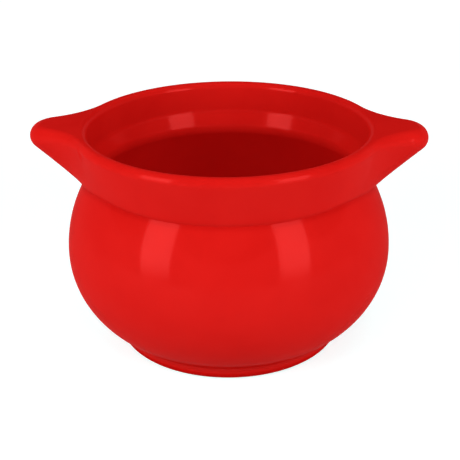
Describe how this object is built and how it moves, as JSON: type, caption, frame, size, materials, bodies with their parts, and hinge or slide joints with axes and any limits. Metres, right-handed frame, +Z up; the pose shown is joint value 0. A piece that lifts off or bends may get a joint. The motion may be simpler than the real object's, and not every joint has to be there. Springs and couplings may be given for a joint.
{
  "type": "soup bowl",
  "caption": "Round-bellied glazed ceramic soup bowl on a low foot ring, with a flared collar, a rounded lip and a lug handle on each side.",
  "frame": {"origin": "on the bowl's axis, at the underside of the foot ring", "axes": "+Z up along the bowl's axis, +X towards the right lug, the front of the picture at -Y"},
  "size_m": [0.1564, 0.13, 0.0886],
  "materials": {
    "foot_glaze": "gloss red glaze on the sides, dry bare clay where it stands",
    "belly_glaze": "gloss red glaze",
    "collar_glaze": "gloss red glaze",
    "lug_glaze": "gloss red glaze"
  },
  "bodies": {
    "root": {"foot_ring": "foot_glaze", "belly_shell": "belly_glaze", "collar": "collar_glaze", "left_lug": "lug_glaze", "right_lug": "lug_glaze"}
  },
  "joints": []
}
